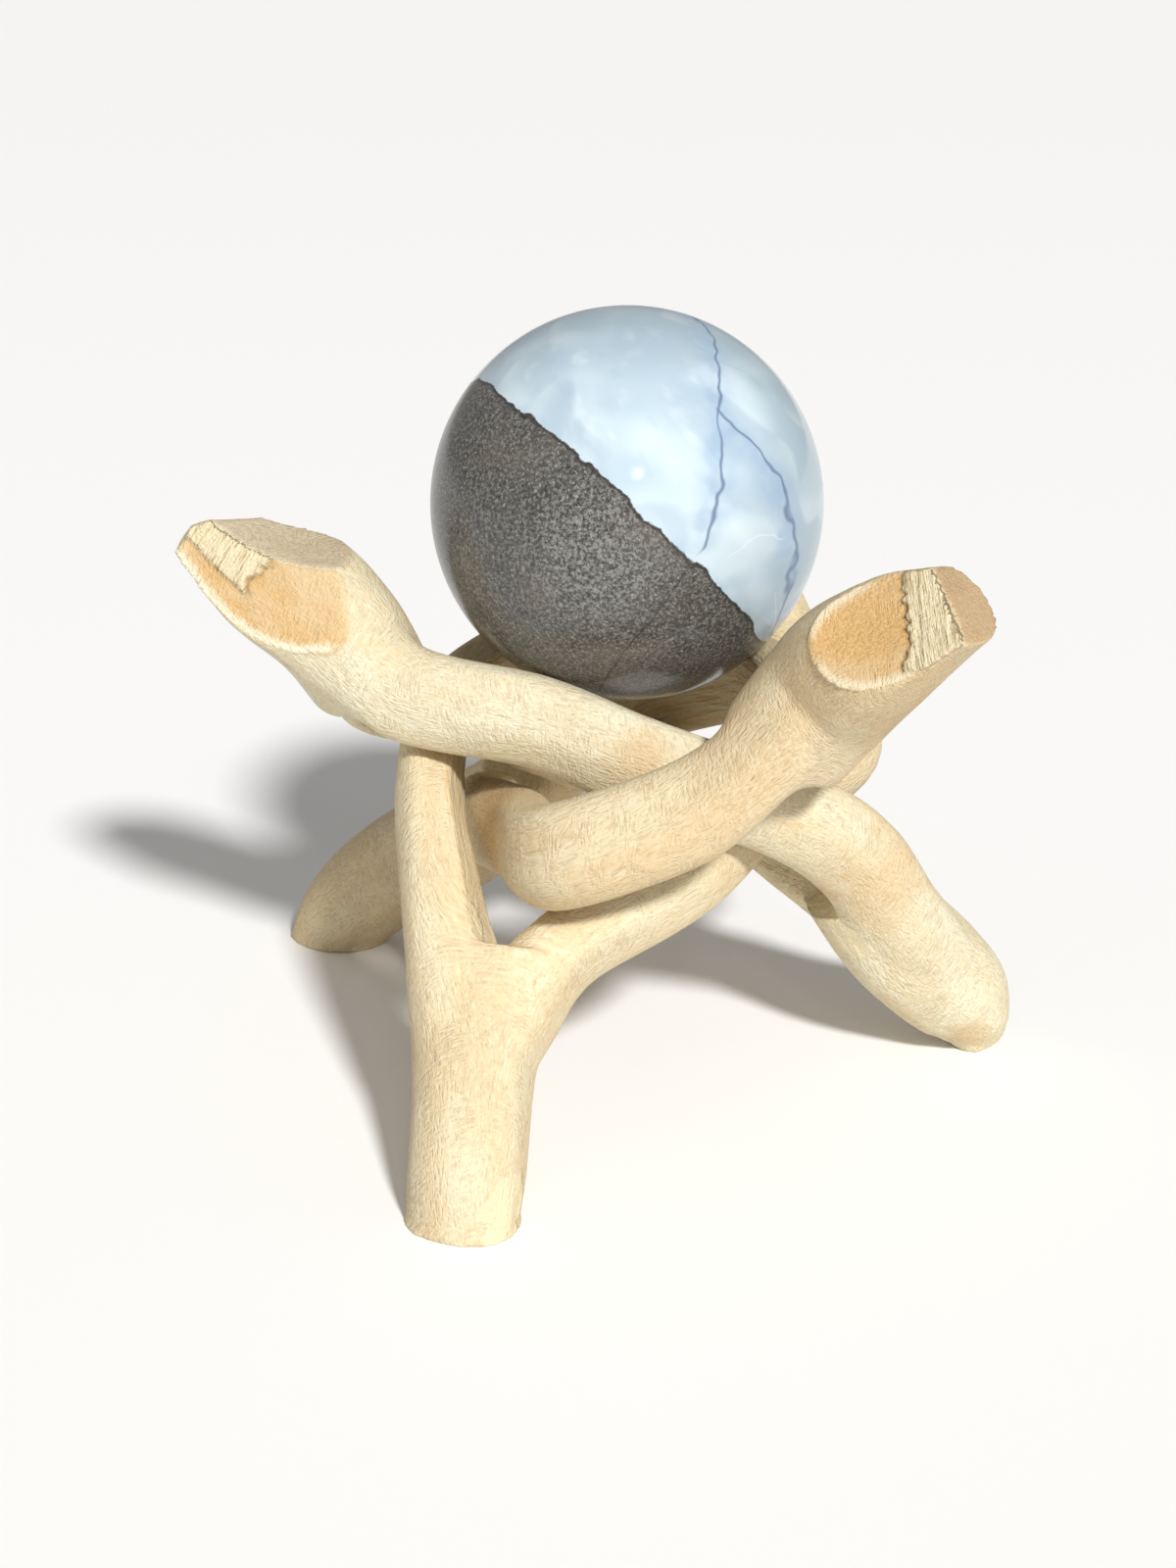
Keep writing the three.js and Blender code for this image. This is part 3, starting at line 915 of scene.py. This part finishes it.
# The point at longitude u and latitude v is centre + radius (cos v cos u, cos v sin u, sin v).
# The rings between the poles are a grid, and a fan closes each pole.
def makeSphere():
    columns, rings = sphere["meridians"], sphere["parallels"] - 1
    u = np.linspace(0, 2 * math.pi, columns, endpoint=False)
    v = np.linspace(-math.pi / 2, math.pi / 2, rings + 2)[1:-1]
    u, v = np.meshgrid(u, v)
    skin = np.stack([np.cos(v) * np.cos(u), np.cos(v) * np.sin(u), np.sin(v)], axis=-1).reshape(-1, 3)
    points = np.concatenate([skin, [[0, 0, -1], [0, 0, 1]]]) * sphere["radius"] + np.array(sphere["centre"])
    i, j = np.meshgrid(np.arange(rings - 1), np.arange(columns), indexing="ij")
    a, b = i * columns + j, i * columns + (j + 1) % columns
    walls = np.stack([a, b, b + columns, a + columns], axis=-1).reshape(-1, 4).tolist()
    j = np.arange(columns)
    k, top = (j + 1) % columns, (rings - 1) * columns
    south = np.stack([k, j, np.full(columns, len(skin))], axis=1).tolist()
    north = np.stack([top + j, top + k, np.full(columns, len(skin) + 1)], axis=1).tolist()
    mesh = bpy.data.meshes.new("stone_sphere_polished")
    mesh.from_pydata(points.tolist(), [], walls + south + north)
    mesh.polygons.foreach_set("use_smooth", np.ones(len(mesh.polygons), bool))
    mesh.update()
    piece = bpy.data.objects.new("stone_sphere_polished", mesh)
    bpy.context.scene.collection.objects.link(piece)
    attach(piece, "root")
    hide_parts("stone_sphere")
    print("turned the sphere", len(mesh.polygons), "cells")
    return piece


# The ball is described by three directions: "right" and "upwards" span the face that shows both
# halves, and "outwards" is square to it. A vein runs along one of the two, at "at" millimetres on
# the other, bent by "bow" times a power of the distance from "middle", and it is kept between
# "low" and "high". "halo" is the strength of the soft colour around it, and 0 is a fine pale line.
stone = {
    "edgeFacing": (0.672, 0.2526, 0.694),     # from the dark half to the pale half
    "edgeShift": 1.9,
    "edgeWobble": 3.6, "edgeCrumble": 0.6, "edgeSoftness": 0.1,
    "rimDepth": 0.3, "rimWidth": 0.45, "rimStrength": 0.85,    # the dark line along the edge
    "right": (1.0, 0.0, 0.0),
    "upwards": (0.0, 0.342, 0.94),
    "outwards": (0.0, -0.94, 0.342),
    "faceEdge": 3.0,                          # the veins fade out where the ball turns away
    "veins": [
        {
            "runs": "upwards", "at": 13.2, "bow": -2.9e-5, "power": 4, "middle": 8.9,
            "low": -10.5, "high": 40.0, "width": 0.2, "halo": 0.6,
        },
        {
            "runs": "upwards", "at": 24.6, "bow": -0.0261, "power": 2, "middle": -10.0,
            "low": -24.0, "high": 11.6, "width": 0.24, "halo": 0.6,
        },
        {
            "runs": "right", "at": -6.6, "bow": -0.053, "power": 2, "middle": 22.5,
            "low": 13.0, "high": 23.0, "width": 0.13, "halo": 0.0,
        },
        {
            "runs": "upwards", "at": 22.0, "bow": 0.03, "power": 2, "middle": -17.8,
            "low": -20.5, "high": -14.0, "width": 0.11, "halo": 0.0,
        },
    ],
    "veinSway": 4.5, "veinEnd": 2.0, "veinDark": 0.35,
    "haloShift": 1.0, "haloWidth": 4.2, "haloMist": (0.36, 0.62), "haloMean": 0.3, "haloChange": 0.7,
    "hairline": {
        "slope": (0.79, -0.61), "at": 14.0, "high": -12.2, "end": 1.0, "width": 0.26,
        "sway": 0.3, "strength": 0.7,
    },
    "brightPatch": {
        "right": -5.0, "upwards": -10.0, "radius": 12.0, "grains": (0.42, 0.6), "strength": 0.4,
    },
    # painted shade: these fold the edge of the grey shade at the top and right of the ball
    "topFolds": 22.0, "topLean": 0.1, "flankFolds": 16.0,    # how the grey shade's edge is folded
    "paleRoughness": 0.13, "darkRoughness": 0.08,
    "specular": 0.42,
}

stoneColours = {
    "opalGrey": (0.37, 0.47, 0.545), "opalBlue": (0.45, 0.555, 0.62), "opalPale": (0.52, 0.62, 0.67),
    "milk": (0.58, 0.675, 0.71),
    "wisp": (0.68, 0.76, 0.785), "wispShade": (0.34, 0.44, 0.53),
    # painted shade at the top and on the right flank of the ball
    "shadeGrey": (0.30, 0.38, 0.425),
    "creaseLight": (0.66, 0.74, 0.77), "creaseDark": (0.34, 0.43, 0.51),
    "halo": (0.27, 0.375, 0.52), "vein": (0.13, 0.19, 0.29), "fineVein": (0.74, 0.79, 0.79),
    "rockDark": (0.032, 0.031, 0.028), "rockGrey": (0.088, 0.084, 0.076), "rockPale": (0.24, 0.23, 0.21),
    "rockWarm": (0.165, 0.140, 0.105),
    "sparkle": (0.46, 0.455, 0.44), "bright": (0.30, 0.30, 0.285),
    "hairline": (0.02, 0.02, 0.02), "rim": (0.03, 0.028, 0.025),
}

# A scale is in cells a millimetre.
stonePatterns = {
    "wobble": {"scale": 0.16},
    "crumble": {"scale": 1.3, "detail": 3, "roughness": 0.6},
    "folds": {"cell": (17, 14, 10), "turn": (0.5, 0.3, 0.4), "roughness": 0.45},
    "milk": {"scale": 0.1, "roughness": 0.4},
    "wisps": {"cell": (14, 4.5, 3.4), "turn": (0.4, 0.9, 0.2)},
    "sway": {"scale": 0.14},
    "mist": {"scale": 0.24},
    "grains": {"scale": 1.9, "roughness": 0.8},
    "sparkle": {"scale": 2.6, "detail": 1},
    "tint": {"scale": 0.06},
}
creasePattern = {
    "cell": (24, 15, 13), "turn": (0.5, 0.3, 0.4), "move": (0, 5, 0), "own": (1, 0, 1),
    "detail": 1, "roughness": 0.4,
}
creaseStep = 1.3

opalRamp = ((0.3, "opalGrey"), (0.5, "opalBlue"), (0.7, "opalPale"))
rockRamp = ((0.3, "rockDark"), (0.5, "rockGrey"), (0.7, "rockPale"))
opalLayers = [
    ("milk", 0.45, 0.7, 0.4, "milk"),
    ("wisps", 0.54, 0.78, 0.5, "wisp"),
    ("wisps", 0.44, 0.24, 0.35, "wispShade"),
    # painted shade: greyer at the top and on the right flank
    ("top", 13.0, 24.0, 0.7, "shadeGrey"),
    ("flank", 14.0, 26.0, 0.7, "shadeGrey"),
    ("crease", -0.02, 0.07, 0.34, "creaseLight"),
    ("crease", 0.02, -0.07, 0.3, "creaseDark"),
]
rockLayers = [("tint", 0.48, 0.7, 0.4, "rockWarm"), ("sparkle", 0.64, 0.74, 0.55, "sparkle")]


def stoneRamp(rock, value, stops):
    return rock.ramp(value, *[(place, stoneColours[name]) for place, name in stops])


# A line of a given half width where a distance is 0.
def thinLine(rock, distance, width):
    return 1 - rock.ease(abs(distance), 0, width)


# The pale half: soft clouds of white and grey-blue, a few wisps, and painted grey shade at the top
# and right. A crease is the slope of a ridged noise, light on one side and grey on the other.
def opalHalf(rock, centred, seen):
    ridges = [abs(rock.grain(centred, creasePattern, shift) - 0.5) for shift in (0.0, creaseStep)]
    seen["crease"] = ridges[0] - ridges[1]
    folds = seen["folds"] - 0.5
    seen["top"] = seen["upwards"] + folds * stone["topFolds"] + seen["right"] * stone["topLean"]
    seen["flank"] = seen["right"] + folds * stone["flankFolds"]
    opal = stoneRamp(rock, seen["folds"], opalRamp)
    return rock.layered(opal, opalLayers, seen, stoneColours)


def veined(rock, opal, seen, sway):
    mist = rock.ease(seen["mist"], *stone["haloMist"]) * stone["haloChange"] + stone["haloMean"]
    for vein in stone["veins"]:
        run, place = seen["upwards"], seen["right"]
        if vein["runs"] == "right":
            run, place = place, run
        bend = abs(run - vein["middle"]) ** vein["power"] * vein["bow"]
        off = place - bend - vein["at"] + sway
        low, high, end = vein["low"], vein["high"], stone["veinEnd"]
        kept = rock.ease(run, low, low + end) * rock.ease(run, high, high - end / 2) * seen["facing"]
        halo = thinLine(rock, off + stone["haloShift"], stone["haloWidth"]) * kept * mist
        opal = rock.blend(halo * vein["halo"], opal, stoneColours["halo"])
        line = thinLine(rock, off, vein["width"] * 2) * kept
        colour = stoneColours["vein"] if vein["halo"] else stoneColours["fineVein"]
        opal = rock.blend(line * (stone["veinDark"] + vein["halo"]), opal, colour)
    return opal


# The dark half: grey-brown rock full of light and dark grains, with one hairline, a brighter
# patch, and a dark rim along the edge.
def rockHalf(rock, seen, sway, height):
    host = stoneRamp(rock, seen["grains"], rockRamp)
    host = rock.layered(host, rockLayers, seen, stoneColours)
    patch = stone["brightPatch"]
    off = (seen["right"] - patch["right"]) ** 2 + (seen["upwards"] - patch["upwards"]) ** 2
    bright = (1 - rock.ease(off, 0.0, patch["radius"] ** 2)) * seen["facing"]
    bright = bright * rock.ease(seen["grains"], *patch["grains"]) * patch["strength"]
    host = rock.blend(bright, host, stoneColours["bright"])
    hair = stone["hairline"]
    across, climb = hair["slope"]
    off = seen["right"] * across + seen["upwards"] * climb - hair["at"] + sway * hair["sway"]
    kept = rock.ease(seen["upwards"], hair["high"], hair["high"] - hair["end"]) * seen["facing"]
    line = thinLine(rock, off, hair["width"]) * kept * hair["strength"]
    host = rock.blend(line, host, stoneColours["hairline"])
    rim = thinLine(rock, height + stone["rimDepth"], stone["rimWidth"])
    return rock.blend(rim * stone["rimStrength"], host, stoneColours["rim"])


# The edge between the halves is a plane, wobbled and crumbled by noise.
def stoneMaterial():
    rock = Finish("opalAndHostRock")
    place = rock.node("ShaderNodeTexCoord", None, None, "Object")
    centred = rock.stretched(place, (mm, mm, mm), (0, 0, 0), tuple(sphere["centre"]))
    seen = {name: rock.grain(centred, row) for name, row in stonePatterns.items()}
    seen["right"], seen["upwards"] = rock.dot(centred, stone["right"]), rock.dot(centred, stone["upwards"])
    face = stone["faceEdge"]
    seen["facing"] = rock.ease(rock.dot(centred, stone["outwards"]), -face, face)
    wobble = (seen["wobble"] - 0.5) * stone["edgeWobble"]
    crumble = (seen["crumble"] - 0.5) * stone["edgeCrumble"]
    height = rock.dot(centred, stone["edgeFacing"]) + wobble + crumble + stone["edgeShift"]
    pale = rock.ease(height, -stone["edgeSoftness"], stone["edgeSoftness"])
    sway = (seen["sway"] - 0.5) * stone["veinSway"]
    opal = veined(rock, opalHalf(rock, centred, seen), seen, sway)
    colour = rock.blend(pale, rockHalf(rock, seen, sway, height), opal)
    roughness = (1 - pale) * stone["darkRoughness"] + stone["paleRoughness"]
    return rock.surface({"Specular IOR Level": stone["specular"]}, Base_Color=colour, Roughness=roughness)


# The floor and the lamps are in metres and degrees. The sun isn't mirrored in the ball, where its
# image would be too wide, and the glint is the small lamp that is.
studio = {
    "floorSize": 16.0,
    "floorColour": (0.955, 0.948, 0.936),
    "floorRoughness": 0.9,
    "worldColour": (1.0, 0.995, 0.985),
    "worldStrength": 0.29,
    "sun": {"azimuth": 20, "elevation": 37, "power": 3.75, "angle": 6},
    "fill": {"azimuth": -60, "elevation": 30, "distance": 1.2, "size": 0.9, "power": 0.3},
    "glint": {"azimuth": 6, "elevation": 31, "distance": 1.2, "size": 0.11, "power": 0.5},
}
view = {
    "aim": (-3.53, -1.73, 48.26), "distance": 420.0, "elevation": 20.0,
    "lens": 60.75, "sensor": 36.0, "clip": (0.01, 20.0),
}


# A point at an azimuth (0 towards -Y, growing towards +X), elevation and distance from aim.
def around(aim, azimuth, elevation, distance):
    turn, height = math.radians(azimuth), math.radians(elevation)
    level = math.cos(height)
    away = Vector((math.sin(turn) * level, -math.cos(turn) * level, math.sin(height)))
    return Vector(aim) + away * distance


def lookAt(thing, aim):
    thing.rotation_euler = (Vector(aim) - thing.location).to_track_quat("-Z", "Y").to_euler()


def makeStudio():
    half = studio["floorSize"] / 2
    mesh = bpy.data.meshes.new("floor")
    corners = [(-half, -half, 0), (half, -half, 0), (half, half, 0), (-half, half, 0)]
    mesh.from_pydata(corners, [], [(0, 1, 2, 3)])
    floor = bpy.data.objects.new("floor", mesh)
    bpy.context.scene.collection.objects.link(floor)
    paper = Finish("paleFloor")
    paper.surface({"Base Color": (*studio["floorColour"], 1), "Roughness": studio["floorRoughness"]})
    mesh.materials.append(paper.material)
    world = bpy.data.worlds.new("studio")
    world.use_nodes = True
    background = world.node_tree.nodes["Background"]
    background.inputs["Color"].default_value = (*studio["worldColour"], 1)
    background.inputs["Strength"].default_value = studio["worldStrength"]
    bpy.context.scene.world = world
    middle = sphere["centre"]
    for name, kind in (("sun", "SUN"), ("fill", "AREA"), ("glint", "AREA")):
        lamp = studio[name]
        light = bpy.data.lights.new(name, kind)
        light.energy = lamp["power"]
        if kind == "SUN":
            light.angle = math.radians(lamp["angle"])
        else:
            light.shape, light.size = "DISK", lamp["size"]
        thing = bpy.data.objects.new(name, light)
        thing.location = around(middle, lamp["azimuth"], lamp["elevation"], lamp.get("distance", 1.0))
        thing.visible_glossy = kind != "SUN"
        lookAt(thing, middle)
        bpy.context.scene.collection.objects.link(thing)


def makeCamera():
    data = bpy.data.cameras.new("camera")
    data.lens, data.sensor_width, data.sensor_height = view["lens"], view["sensor"], view["sensor"]
    data.clip_start, data.clip_end = view["clip"]
    camera = bpy.data.objects.new("camera", data)
    aim = Vector(view["aim"]) * mm
    camera.location = around(aim, 0, view["elevation"], view["distance"] * mm)
    lookAt(camera, aim)
    bpy.context.scene.collection.objects.link(camera)
    bpy.context.scene.camera = camera
    bpy.context.scene.view_settings.view_transform = "Standard"


makeCamera()
makeStudio()
print("studio ready")
for member in (memberFront, memberRight, memberLeft):
    piece = makeMember(member)
    piece.data.materials.append(woodMaterial(member))
ball = makeSphere()
ball.data.materials.append(stoneMaterial())
print("materials ready")
